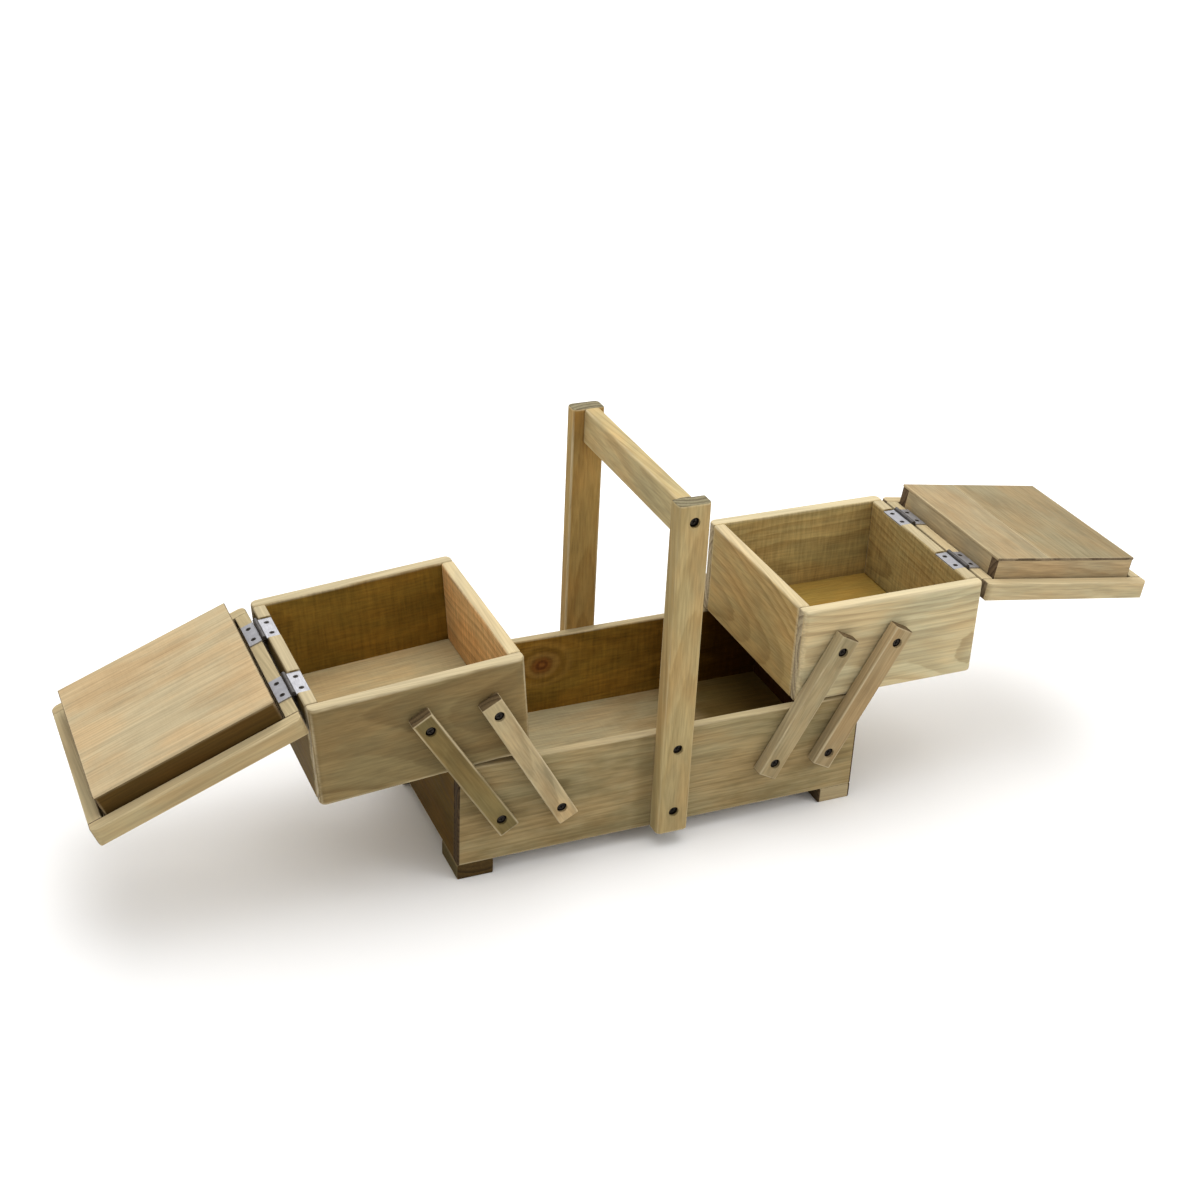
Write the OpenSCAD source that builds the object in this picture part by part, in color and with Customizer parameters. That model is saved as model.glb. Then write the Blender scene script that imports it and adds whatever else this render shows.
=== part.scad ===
// Wooden sewing box with two swing-out trays, shown open.
// Millimetres, +Z up, X along the box, the front faces -Y,
// and the origin is on the ground under the middle of the box.
// Each side is drawn with its outward direction along +X, and the left one is mirrored.

/* [Box] */
// Outside length of the bottom box
box_l = 316; // [262:1:380]
// Outside depth of the bottom box, front to back
box_d = 160; // [130:1:200]
// Height of the bottom box's boards
box_h = 80; // [72:1:100]
// Thickness of the bottom box's boards
box_t = 7; // [6:0.5:10]
// Thickness of the bottom box's floor
box_floor_t = 4; // [3:0.5:6]
// Height of the floor's underside above the boards' lower edge
box_floor_up = 10.4; // [6:0.2:14]
// How deep the floor is let into the boards
box_groove = 3; // [2:0.5:4]
// Length of each foot block along the box
foot_l = 27; // [20:1:40]
// Depth of each foot block, front to back
foot_d = 34; // [20:1:50]
// Height of the foot blocks
foot_h = 12; // [8:1:25]

/* [Carrying frame] */
// Width of each upright, along the box
post_w = 25; // [20:1:32]
// Thickness of each upright
post_t = 13; // [10:1:18]
// Length of each upright
post_l = 264; // [240:1:300]
// Rounding of the upright's outer edges
post_r = 4; // [1:0.5:6]
// How far the front upright stands right of the middle, and the back one left of it
post_shift = 2.5; // [0:0.5:5]
// Height of the carrying bar
bar_h = 27; // [20:1:34]
// Thickness of the carrying bar
bar_t = 12; // [10:1:18]
// Rounding of the carrying bar's upper edges
bar_r = 2.5; // [1:0.5:5]
// Height of an upright's lower screw above the upright's end
post_screw_low = 18; // [16:1:20]
// Height of an upright's higher screw above the upright's end
post_screw_high = 71; // [55:1:71]

/* [Trays] */
// Height of the trays
tray_h = 76; // [63:1:92]
// Thickness of the trays' boards
tray_t = 9.5; // [7.9:0.1:11.4]
// Space between the two trays when they are shut
tray_gap = 14; // [2:1:20]
// How much each tray is set back from the bottom box's front and back faces
tray_side_clear = 0.4; // [0.3:0.1:2]
// Thickness of the trays' floors
tray_floor_t = 4; // [3:0.5:6]
// Height of a tray floor's underside above the tray's lower edge
tray_floor_up = 6.6; // [4:0.2:10]
// How deep a tray's floor is let into its boards
tray_groove = 4; // [2:0.5:5]
// Rounding of the trays' and lids' upright corners
corner_r = 5; // [2:0.5:7]
// Space left between a tray and the bottom box where it rests
tray_rest_clear = 0.44; // [0.3:0.02:1]

/* [Arms] */
// Distance between the two pivots of an arm
arm_l = 97.5; // [81:0.5:117]
// Width of an arm
arm_w = 16; // [14:0.5:20]
// Thickness of an arm
arm_t = 10; // [8:0.5:12]
// Length of an arm beyond each pivot
arm_end = 12; // [10:0.5:14]
// Space between an arm and the bottom box
arm_gap = 0.8; // [0.4:0.1:2]
// Distance of the outer lower pivot from the end of the bottom box
pivot_in = 28.7; // [24:0.1:36]
// Distance between the two lower pivots of one side
pivot_space = 45; // [36:0.5:52]
// Height of the lower pivots above the boards' lower edge
pivot_up = 40; // [36:1:44]
// Lean of the arms when the trays are shut
closed_lean = 30; // [26:0.5:34]
// Space under the open right tray, above the bottom box's end
right_rest_gap = 1.4; // [0.4:0.1:3]
// Space under the open left tray, above the bottom box's end
left_rest_gap = 0.5; // [0.4:0.1:3]
// Outward tilt of the left tray when open
left_tilt = 5; // [0:0.1:5.4]

/* [Lids] */
// Height of a lid's rim
lid_h = 14.5; // [12:0.5:18]
// Thickness of a lid's top panel
lid_panel_t = 6; // [4:0.5:7]
// Width of the step in the rim that holds the top panel
lid_rebate = 4.5; // [3:0.5:6]
// Rounding of a lid's upper edges
lid_edge_r = 2.5; // [2.5:0.5:4]
// Space between a shut lid and its tray
lid_seat = 0.4; // [0.3:0.1:0.8]
// Space between the rim and the raised liner inside it
liner_gap = 1.5; // [1:0.25:3]
// Extra space at the liner's far side, so that it swings into the tray
liner_swing = 1; // [1:0.25:3]
// How far the liner stands out of the rim
liner_deep = 16; // [12:0.5:20]
// Thickness of the liner's strips
liner_t = 8; // [6:0.5:10]
// Thickness of the board that covers the liner
liner_board_t = 2; // [1.5:0.5:3]
// How far that board stands over the liner's strips
liner_board_over = 0.4; // [0:0.1:0.8]
// Turn of the left lid from shut to open
left_lid_turn = 197.4; // [180:0.2:197.4]
// Turn of the right lid from shut to open
right_lid_turn = 188.7; // [180:0.1:197.4]

/* [Lid hinges] */
// Length of a hinge
hinge_l = 27; // [22:1:32]
// Distance of each hinge's middle from the tray's middle
hinge_y = 39; // [30:1:48]
// How far a hinge leaf stops short of the tray's inner face
leaf_short = 0.5; // [0:0.1:2]
// Thickness of a hinge leaf
leaf_t = 1; // [0.8:0.1:1.2]
// Space between the two leaves when shut
leaf_gap = 0.8; // [0.6:0.1:1.2]
// Space round a leaf in the notch of the tray's edge
notch_clear = 0.3; // [0.2:0.1:1]
// Radius of the hinge's knuckles
knuckle_r = 1.7; // [1.5:0.1:1.8]
// Distance of the hinge's axis from the tray's outer face
knuckle_out = 2.4; // [2.4:0.1:3]
// Space between neighbouring knuckles, and between knuckles and leaf
knuckle_clear = 0.3; // [0.3:0.05:0.5]
// Radius of the hinge pins
pin_r = 0.8; // [0.6:0.1:1]

/* [Screws] */
// Radius of the arm and upright screws' shanks
shank_r = 2; // [1.5:0.1:2.5]
// Radius of their heads
head_r = 3; // [2.6:0.1:3]
// Height of their heads
head_h = 2.4; // [2:0.1:3]
// Radius of the sunk hole over a head
recess_r = 3.9; // [3.7:0.1:4.2]
// Depth of the sunk hole in an arm
arm_recess = 4.5; // [3.5:0.1:5]
// Depth of the sunk hole in an upright
post_recess = 5; // [4:0.5:6]
// Length of screw that bites into a board
screw_bite = 6; // [4:0.5:6.5]
// Length of screw that bites into the carrying bar's end
bar_bite = 22; // [15:1:30]
// Clearance between a screw's shank and the arm that turns on it
turn_clear = 0.08; // [0.02:0.01:0.1]
// Extra room round the screw in the left inner arms' upper holes
loose_clear = 0.85; // [0.85:0.05:1.2]
// Space between a screw's head and the arm that turns under it
head_clear = 0.3; // [0.3:0.05:0.5]
// Radius of the hinge screws' shanks
small_shank_r = 1; // [0.8:0.1:1.2]
// Radius of the hinge screws' heads
small_head_r = 1.9; // [1.6:0.1:2.1]
// Length of the hinge screws
small_screw_l = 8; // [6:0.5:9]
// Distance between the two screws of a leaf
small_screw_space = 15; // [12:0.5:18]

/* [Hidden] */
$fn = 48;
over = 1;                                   // how far a cut runs past a face
box_low = foot_h;                           // lower edge of the boards
box_top = foot_h + box_h;                   // upper edge of the boards
box_half = box_d / 2;
post_top = box_low + post_l;
bar_low = post_top - bar_h;
tray_l = (box_l - tray_gap) / 2;
tray_d = box_d - 2 * tray_side_clear;
tray_half = tray_d / 2;
pivot_z = box_low + pivot_up;
outer_x = box_l / 2 - pivot_in;             // outer lower pivot
inner_x = outer_x - pivot_space;            // inner lower pivot
arm_in_y = box_half + arm_gap;              // the arm's face beside the box
arm_out_y = arm_in_y + arm_t;
shut_x = outer_x - arm_l * sin(closed_lean);
tray_pivot_x = shut_x - tray_gap / 2;       // outer pivot, from the tray's inner end
tray_pivot_z = pivot_z + arm_l * cos(closed_lean) - box_top - tray_rest_clear;
lid_low = tray_h + lid_seat;                // the rim's face that meets the tray
notch_h = 2 * leaf_t + leaf_gap - lid_seat; // depth of the hinge notches
axis_x = tray_l + knuckle_out;
axis_z = lid_low - leaf_t - leaf_gap / 2;
liner_side = tray_t + liner_gap;
liner_far = liner_side + liner_swing;
liner_low = lid_low - liner_deep;
knuckle_l = (hinge_l - 2 * knuckle_clear) / 3;
leaf_out_x = axis_x - knuckle_r - knuckle_clear;
leaf_in_x = tray_l - tray_t + leaf_short;
leaf_mid_x = (tray_l + leaf_in_x) / 2;
leaf_top_z = tray_h - notch_h + leaf_t;     // upper face of a tray leaf
panel_low = lid_low + lid_h - lid_panel_t;
head_y = -arm_out_y + arm_recess - head_clear;

pine = [0.74, 0.65, 0.46];
pine_light = [0.80, 0.71, 0.52];
pine_dark = [0.62, 0.51, 0.33];
ply = [0.70, 0.60, 0.40];
steel = [0.78, 0.78, 0.80];
screw_steel = [0.25, 0.22, 0.18];

// One side's tray tilt, its lid's turn, and the space under its open tray
function tilt(side) = side == "left" ? left_tilt : 0;
function lid_turn(side) = side == "left" ? left_lid_turn : right_lid_turn;
function rest_gap(side) = side == "left" ? left_rest_gap : right_rest_gap;

// The lean at which the open tray, at its tilt, is that far above the box's end
function lean(side) =
    let (t = tilt(side))
    let (edge = pivot_in * sin(t) + (box_h - pivot_up) * cos(t))
    t + acos((tray_pivot_z + rest_gap(side) + edge) / arm_l);

// The tray's inner pivot, measured in the tray from its outer pivot: the one point that
// stays an arm's length from the inner lower pivot both shut and open.
function arm_tip(a) = [arm_l * sin(a), arm_l * cos(a)];
function turned(v, a) = [v[0] * cos(a) - v[1] * sin(a), v[0] * sin(a) + v[1] * cos(a)];
function inner_pivot(side) =
    let (shut = [-pivot_space, 0] - arm_tip(-closed_lean))
    let (open = turned([-pivot_space, 0] - arm_tip(lean(side)), tilt(side)))
    let (half = (open - shut) / 2)
    let (rise = sqrt(arm_l * arm_l - half * half) / norm(half))
    shut + half + rise * [half[1], -half[0]];
// The inner arm's lean when open
function inner_lean(side) =
    let (tip = arm_tip(lean(side)) + turned(inner_pivot(side), -tilt(side)))
    atan2(tip[0] + pivot_space, tip[1]);
// Places of a tray's two pivots, in the tray
function tray_pivots(side) = [
    [tray_pivot_x, tray_pivot_z],
    [tray_pivot_x, tray_pivot_z] + inner_pivot(side)
];
// The uprights' place along the box; end is -1 at the front and 1 at the back
function post_x(end) = -end * post_shift;

// ---- Placing ----

module on_side(side) {
    if (side == "left") mirror([1, 0, 0]) children();
    else children();
}

// Drawn at the front; end is -1 to leave it there and 1 to put it at the back
module at_face(end) {
    if (end > 0) mirror([0, 1, 0]) children();
    else children();
}

// From a tray's own place (inner end at 0, lower edge at 0) to its open place
module at_tray(side) {
    on_side(side)
        translate([outer_x + arm_tip(lean(side))[0], 0, pivot_z + arm_tip(lean(side))[1]])
            rotate([0, tilt(side), 0])
                translate([-tray_pivot_x, 0, -tray_pivot_z])
                    children();
}

// From a lid's shut place on its tray to its open place
module at_lid(side) {
    at_tray(side)
        translate([axis_x, 0, axis_z])
            rotate([0, lid_turn(side), 0])
                translate([-axis_x, 0, -axis_z])
                    children();
}

// ---- Shared shapes ----

module rounded_plan(l, d, r) {
    translate([r, -d / 2]) square([l - 2 * r, d]);
    translate([0, r - d / 2]) square([l, d - 2 * r]);
    for (x = [r, l - r], y = [r - d / 2, d / 2 - r])
        translate([x, y]) circle(r);
}

// A profile l long and h high with only its upper corners rounded
module rounded_top(l, h, r) {
    square([l, h - r]);
    translate([r, 0]) square([l - 2 * r, h]);
    for (x = [r, l - r])
        translate([x, h - r]) circle(r);
}

module block(low, high) {
    translate(low) cube(high - low);
}

// A screw along +Y with its head's underside at y = 0
module big_screw(length) {
    rotate([-90, 0, 0]) {
        cylinder(r = shank_r, h = length);
        difference() {
            translate([0, 0, -head_h]) {
                cylinder(r1 = head_r * 0.8, r2 = head_r, h = head_h * 0.4);
                translate([0, 0, head_h * 0.4]) cylinder(r = head_r, h = head_h * 0.6);
            }
            for (turn = [20, 110])
                rotate([0, 0, turn])
                    translate([-head_r * 0.6, -0.4, -head_h - over])
                        cube([head_r * 1.2, 0.8, over + head_h * 0.5]);
        }
    }
}

// A countersunk screw along -Z with its head's top at z = 0
module small_screw() {
    difference() {
        union() {
            translate([0, 0, -leaf_t])
                cylinder(r1 = small_shank_r, r2 = small_head_r, h = leaf_t, $fn = 24);
            translate([0, 0, -small_screw_l])
                cylinder(r = small_shank_r, h = small_screw_l - leaf_t + 0.1, $fn = 24);
        }
        for (turn = [35, 125])
            rotate([0, 0, turn])
                translate([-small_head_r * 0.7, -0.25, -leaf_t * 0.5])
                    cube([small_head_r * 1.4, 0.5, over + leaf_t]);
    }
}

// ---- Bottom box ----

module box_pilot_holes() {
    for (side = ["left", "right"])
        on_side(side)
            for (x = [inner_x, outer_x])
                translate([x, -box_half - over, pivot_z])
                    rotate([-90, 0, 0]) cylinder(r = shank_r, h = screw_bite + over);
}

module box_floor_space() {
    half_l = box_l / 2 - box_t + box_groove;
    half_d = box_half - box_t + box_groove;
    low = box_low + box_floor_up;
    block([-half_l, -half_d, low], [half_l, half_d, low + box_floor_t]);
}

module box_long_board(end) {
    difference() {
        at_face(end) difference() {
            block([-box_l / 2, -box_half, box_low], [box_l / 2, box_t - box_half, box_top]);
            box_pilot_holes();
            for (z = [post_screw_low, post_screw_high])
                translate([post_x(end), -box_half - over, box_low + z])
                    rotate([-90, 0, 0]) cylinder(r = shank_r, h = screw_bite + over);
        }
        box_floor_space();
    }
}

module box_end_board(side) {
    difference() {
        on_side(side)
            block([box_l / 2 - box_t, box_t - box_half, box_low],
                  [box_l / 2, box_half - box_t, box_top]);
        box_floor_space();
    }
}

module foot(side, end) {
    on_side(side) at_face(end)
        block([box_l / 2 - foot_l, -box_half, 0], [box_l / 2, foot_d - box_half, foot_h]);
}

// ---- Carrying frame ----

module post(end) {
    at_face(end) difference() {
        translate([post_x(end), -box_half - post_t, box_low]) linear_extrude(post_l) {
            translate([-post_w / 2, post_r]) square([post_w, post_t - post_r]);
            translate([post_r - post_w / 2, 0]) square([post_w - 2 * post_r, post_t]);
            for (x = [post_r - post_w / 2, post_w / 2 - post_r])
                translate([x, post_r]) circle(post_r);
        }
        for (z = [box_low + post_screw_low, box_low + post_screw_high, post_top - bar_h / 2])
            translate([post_x(end), -box_half - post_t - over, z]) rotate([-90, 0, 0]) {
                cylinder(r = recess_r, h = post_recess + over);
                cylinder(r = shank_r, h = post_t + 2 * over);
            }
    }
}

module bar() {
    difference() {
        translate([-bar_t / 2, box_half, bar_low])
            rotate([90, 0, 0]) linear_extrude(box_d) rounded_top(bar_t, bar_h, bar_r);
        for (end = [-1, 1])
            at_face(end)
                translate([post_x(end), -box_half - over, post_top - bar_h / 2])
                    rotate([-90, 0, 0]) cylinder(r = shank_r, h = bar_bite + over);
    }
}

module frame_screws(heights, bite) {
    for (end = [-1, 1], z = heights)
        at_face(end)
            translate([post_x(end), -box_half - post_t + post_recess, z])
                big_screw(post_t - post_recess + bite);
}

// ---- Arms ----

module arm(side, end, which) {
    low_x = which == "outer" ? outer_x : inner_x;
    upper_clear = which == "inner" && side == "left" ? loose_clear : turn_clear;
    on_side(side) at_face(end)
        translate([low_x, 0, pivot_z])
            rotate([0, which == "outer" ? lean(side) : inner_lean(side), 0])
                difference() {
                    block([-arm_w / 2, -arm_out_y, -arm_end],
                          [arm_w / 2, -arm_in_y, arm_l + arm_end]);
                    for (hole = [[0, turn_clear], [arm_l, upper_clear]])
                        translate([0, -arm_out_y - over, hole[0]]) rotate([-90, 0, 0]) {
                            cylinder(r = recess_r, h = arm_recess + over);
                            cylinder(r = shank_r + hole[1], h = arm_t + 2 * over);
                        }
                }
}

module box_screws() {
    for (side = ["left", "right"], end = [-1, 1], x = [inner_x, outer_x])
        on_side(side) at_face(end)
            translate([x, head_y, pivot_z])
                big_screw(screw_bite - box_half - head_y);
}

module tray_screws(side) {
    at_tray(side)
        for (end = [-1, 1], p = tray_pivots(side))
            at_face(end)
                translate([p[0], head_y, p[1]])
                    big_screw(screw_bite - tray_half - head_y);
}

// ---- Trays ----

module tray_floor_space() {
    edge = tray_t - tray_groove;
    block([edge, edge - tray_half, tray_floor_up],
          [tray_l - edge, tray_half - edge, tray_floor_up + tray_floor_t]);
}

module tray_long_board(side, end) {
    at_tray(side) difference() {
        at_face(end) difference() {
            intersection() {
                linear_extrude(tray_h) rounded_plan(tray_l, tray_d, corner_r);
                block([0, -tray_half, 0], [tray_l, tray_t - tray_half, tray_h]);
            }
            for (p = tray_pivots(side))
                translate([p[0], -tray_half - over, p[1]])
                    rotate([-90, 0, 0]) cylinder(r = shank_r, h = screw_bite + over);
        }
        tray_floor_space();
    }
}

module tray_inner_end(side) {
    at_tray(side) difference() {
        block([0, tray_t - tray_half, 0], [tray_t, tray_half - tray_t, tray_h]);
        tray_floor_space();
    }
}

module tray_outer_end(side) {
    at_tray(side) difference() {
        block([tray_l - tray_t, tray_t - tray_half, 0], [tray_l, tray_half - tray_t, tray_h]);
        tray_floor_space();
        for (y = [-hinge_y, hinge_y])
            block([tray_l - tray_t - over, y - hinge_l / 2 - notch_clear, tray_h - notch_h],
                  [tray_l + over, y + hinge_l / 2 + notch_clear, tray_h + over]);
        at_hinge_screws(leaf_top_z)
            translate([0, 0, -small_screw_l]) cylinder(r = small_shank_r, h = small_screw_l);
    }
}

module tray_floor(side) {
    at_tray(side) tray_floor_space();
}

// ---- Lids ----

module lid_outline() {
    intersection() {
        translate([0, 0, lid_low])
            linear_extrude(lid_h) rounded_plan(tray_l, tray_d, corner_r);
        translate([0, tray_half, lid_low])
            rotate([90, 0, 0]) linear_extrude(tray_d) rounded_top(tray_l, lid_h, lid_edge_r);
        translate([0, -tray_half, lid_low])
            rotate([90, 0, 90]) linear_extrude(tray_l) rounded_top(tray_d, lid_h, lid_edge_r);
    }
}

module lid_panel_space(above) {
    edge = tray_t - lid_rebate;
    block([edge, edge - tray_half, panel_low],
          [tray_l - edge, tray_half - edge, panel_low + lid_panel_t + above]);
}

module lid_long_rim(side, end) {
    at_lid(side) difference() {
        intersection() {
            lid_outline();
            at_face(end)
                block([0, -tray_half, lid_low], [tray_l, tray_t - tray_half, lid_low + lid_h]);
        }
        lid_panel_space(over);
    }
}

module lid_cross_rim(side, low_x) {
    at_lid(side) difference() {
        intersection() {
            lid_outline();
            block([low_x, tray_t - tray_half, lid_low],
                  [low_x + tray_t, tray_half - tray_t, lid_low + lid_h]);
        }
        lid_panel_space(over);
        at_hinge_screws(lid_low - leaf_t)
            cylinder(r = small_shank_r, h = small_screw_l);
    }
}

module liner_block(inset, low, high) {
    block([liner_far + inset, liner_side + inset - tray_half, low],
          [tray_l - liner_side - inset, tray_half - liner_side - inset, high]);
}

module lid_liner_frame(side) {
    at_lid(side) difference() {
        liner_block(0, liner_low + liner_board_t, panel_low);
        liner_block(liner_t, liner_low, panel_low + over);
    }
}

// ---- Lid hinges ----

module at_hinge_screws(z) {
    for (y = [-hinge_y, hinge_y], dy = [-small_screw_space / 2, small_screw_space / 2])
        translate([leaf_mid_x, y + dy, z]) children();
}

// A leaf between two heights, with its knuckles at the given steps from the hinge's middle
module leaf(low, knuckles, bore) {
    difference() {
        union() {
            block([leaf_in_x, -hinge_l / 2, low], [leaf_out_x, hinge_l / 2, low + leaf_t]);
            for (k = knuckles)
                translate([0, k * (knuckle_l + knuckle_clear), 0]) {
                    block([leaf_out_x, -knuckle_l / 2, low], [axis_x, knuckle_l / 2, low + leaf_t]);
                    translate([axis_x, knuckle_l / 2, axis_z])
                        rotate([90, 0, 0]) cylinder(r = knuckle_r, h = knuckle_l, $fn = 32);
                }
        }
        translate([axis_x, hinge_l / 2 + over, axis_z])
            rotate([90, 0, 0]) cylinder(r = bore, h = hinge_l + 2 * over, $fn = 32);
    }
}

module leaf_sink() {
    cylinder(r1 = small_shank_r, r2 = small_head_r, h = leaf_t, $fn = 24);
}

module tray_leaves(side) {
    at_tray(side) difference() {
        for (y = [-hinge_y, hinge_y])
            translate([0, y, 0]) leaf(leaf_top_z - leaf_t, [-1, 1], pin_r);
        at_hinge_screws(leaf_top_z - leaf_t) leaf_sink();
    }
}

module lid_leaves(side) {
    at_lid(side) difference() {
        for (y = [-hinge_y, hinge_y])
            translate([0, y, 0]) leaf(lid_low - leaf_t, [0], pin_r + turn_clear);
        at_hinge_screws(lid_low) mirror([0, 0, 1]) leaf_sink();
    }
}

module hinge_pins(side) {
    at_tray(side)
        for (y = [-hinge_y, hinge_y])
            translate([axis_x, y + hinge_l / 2, axis_z])
                rotate([90, 0, 0]) cylinder(r = pin_r, h = hinge_l, $fn = 32);
}

module tray_leaf_screws(side) {
    at_tray(side) at_hinge_screws(leaf_top_z) small_screw();
}

module lid_leaf_screws(side) {
    at_lid(side) at_hinge_screws(lid_low - leaf_t) mirror([0, 0, 1]) small_screw();
}

// ---- One module for each piece ----

module box_front() { color(pine) box_long_board(-1); }
module box_back() { color(pine) box_long_board(1); }
module box_left_end() { color(pine_dark) box_end_board("left"); }
module box_right_end() { color(pine_dark) box_end_board("right"); }
module box_floor() { color(ply) box_floor_space(); }
module front_left_foot() { color(pine_dark) foot("left", -1); }
module front_right_foot() { color(pine_dark) foot("right", -1); }
module back_left_foot() { color(pine_dark) foot("left", 1); }
module back_right_foot() { color(pine_dark) foot("right", 1); }
module front_post() { color(pine_light) post(-1); }
module back_post() { color(pine_light) post(1); }
module carry_bar() { color(pine_light) bar(); }
module post_screws() {
    color(screw_steel)
        frame_screws([box_low + post_screw_low, box_low + post_screw_high], screw_bite);
}
module bar_screws() { color(screw_steel) frame_screws([post_top - bar_h / 2], bar_bite); }
module box_pivot_screws() { color(screw_steel) box_screws(); }
module left_front_outer_arm() { color(pine_light) arm("left", -1, "outer"); }
module left_front_inner_arm() { color(pine_light) arm("left", -1, "inner"); }
module left_back_outer_arm() { color(pine_light) arm("left", 1, "outer"); }
module left_back_inner_arm() { color(pine_light) arm("left", 1, "inner"); }
module right_front_outer_arm() { color(pine_light) arm("right", -1, "outer"); }
module right_front_inner_arm() { color(pine_light) arm("right", -1, "inner"); }
module right_back_outer_arm() { color(pine_light) arm("right", 1, "outer"); }
module right_back_inner_arm() { color(pine_light) arm("right", 1, "inner"); }
module left_tray_front() { color(pine) tray_long_board("left", -1); }
module left_tray_back() { color(pine) tray_long_board("left", 1); }
module left_tray_inner_end() { color(pine) tray_inner_end("left"); }
module left_tray_outer_end() { color(pine) tray_outer_end("left"); }
module left_tray_floor() { color(ply) tray_floor("left"); }
module left_tray_pivot_screws() { color(screw_steel) tray_screws("left"); }
module left_tray_hinge_leaves() { color(steel) tray_leaves("left"); }
module left_tray_hinge_screws() { color(steel) tray_leaf_screws("left"); }
module left_hinge_pins() { color(steel) hinge_pins("left"); }
module right_tray_front() { color(pine) tray_long_board("right", -1); }
module right_tray_back() { color(pine) tray_long_board("right", 1); }
module right_tray_inner_end() { color(pine) tray_inner_end("right"); }
module right_tray_outer_end() { color(pine) tray_outer_end("right"); }
module right_tray_floor() { color(ply) tray_floor("right"); }
module right_tray_pivot_screws() { color(screw_steel) tray_screws("right"); }
module right_tray_hinge_leaves() { color(steel) tray_leaves("right"); }
module right_tray_hinge_screws() { color(steel) tray_leaf_screws("right"); }
module right_hinge_pins() { color(steel) hinge_pins("right"); }
module left_lid_panel() { color(pine) at_lid("left") lid_panel_space(0); }
module left_lid_front_rim() { color(pine) lid_long_rim("left", -1); }
module left_lid_back_rim() { color(pine) lid_long_rim("left", 1); }
module left_lid_hinge_rim() { color(pine) lid_cross_rim("left", tray_l - tray_t); }
module left_lid_far_rim() { color(pine) lid_cross_rim("left", 0); }
module left_lid_liner_frame() { color(pine_dark) lid_liner_frame("left"); }
module left_lid_liner_board() {
    color(pine_light) at_lid("left")
        liner_block(-liner_board_over, liner_low, liner_low + liner_board_t);
}
module left_lid_hinge_leaves() { color(steel) lid_leaves("left"); }
module left_lid_hinge_screws() { color(steel) lid_leaf_screws("left"); }
module right_lid_panel() { color(pine) at_lid("right") lid_panel_space(0); }
module right_lid_front_rim() { color(pine) lid_long_rim("right", -1); }
module right_lid_back_rim() { color(pine) lid_long_rim("right", 1); }
module right_lid_hinge_rim() { color(pine) lid_cross_rim("right", tray_l - tray_t); }
module right_lid_far_rim() { color(pine) lid_cross_rim("right", 0); }
module right_lid_liner_frame() { color(pine_dark) lid_liner_frame("right"); }
module right_lid_liner_board() {
    color(pine_light) at_lid("right")
        liner_block(-liner_board_over, liner_low, liner_low + liner_board_t);
}
module right_lid_hinge_leaves() { color(steel) lid_leaves("right"); }
module right_lid_hinge_screws() { color(steel) lid_leaf_screws("right"); }

box_front();
box_back();
box_left_end();
box_right_end();
box_floor();
front_left_foot();
front_right_foot();
back_left_foot();
back_right_foot();
front_post();
back_post();
carry_bar();
post_screws();
bar_screws();
box_pivot_screws();
left_front_outer_arm();
left_front_inner_arm();
left_back_outer_arm();
left_back_inner_arm();
right_front_outer_arm();
right_front_inner_arm();
right_back_outer_arm();
right_back_inner_arm();
left_tray_front();
left_tray_back();
left_tray_inner_end();
left_tray_outer_end();
left_tray_floor();
left_tray_pivot_screws();
left_tray_hinge_leaves();
left_tray_hinge_screws();
left_hinge_pins();
right_tray_front();
right_tray_back();
right_tray_inner_end();
right_tray_outer_end();
right_tray_floor();
right_tray_pivot_screws();
right_tray_hinge_leaves();
right_tray_hinge_screws();
right_hinge_pins();
left_lid_panel();
left_lid_front_rim();
left_lid_back_rim();
left_lid_hinge_rim();
left_lid_far_rim();
left_lid_liner_frame();
left_lid_liner_board();
left_lid_hinge_leaves();
left_lid_hinge_screws();
right_lid_panel();
right_lid_front_rim();
right_lid_back_rim();
right_lid_hinge_rim();
right_lid_far_rim();
right_lid_liner_frame();
right_lid_liner_board();
right_lid_hinge_leaves();
right_lid_hinge_screws();
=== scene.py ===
import math
import random

import bpy
import mathutils
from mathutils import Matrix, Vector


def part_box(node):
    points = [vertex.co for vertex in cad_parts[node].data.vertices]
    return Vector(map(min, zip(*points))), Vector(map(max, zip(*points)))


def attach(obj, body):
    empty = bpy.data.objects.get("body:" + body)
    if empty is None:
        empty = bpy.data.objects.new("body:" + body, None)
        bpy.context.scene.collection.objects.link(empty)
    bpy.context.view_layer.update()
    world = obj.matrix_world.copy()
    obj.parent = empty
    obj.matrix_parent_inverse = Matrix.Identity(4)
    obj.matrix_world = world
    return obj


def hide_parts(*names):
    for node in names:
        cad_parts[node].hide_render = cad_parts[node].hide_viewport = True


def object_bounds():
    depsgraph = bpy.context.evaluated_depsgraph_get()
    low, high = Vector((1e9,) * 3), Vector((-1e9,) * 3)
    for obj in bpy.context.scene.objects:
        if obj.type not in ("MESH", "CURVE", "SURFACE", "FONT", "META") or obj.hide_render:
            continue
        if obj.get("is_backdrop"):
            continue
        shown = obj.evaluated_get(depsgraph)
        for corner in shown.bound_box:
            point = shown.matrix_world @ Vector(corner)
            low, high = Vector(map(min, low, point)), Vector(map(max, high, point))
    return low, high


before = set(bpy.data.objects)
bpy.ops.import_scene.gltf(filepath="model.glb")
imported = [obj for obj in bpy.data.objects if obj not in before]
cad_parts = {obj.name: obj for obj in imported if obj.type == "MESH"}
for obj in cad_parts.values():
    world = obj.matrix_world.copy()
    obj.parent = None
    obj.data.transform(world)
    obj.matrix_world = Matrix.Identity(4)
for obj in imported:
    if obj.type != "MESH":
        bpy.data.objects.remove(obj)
cad_low, cad_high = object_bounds()

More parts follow.
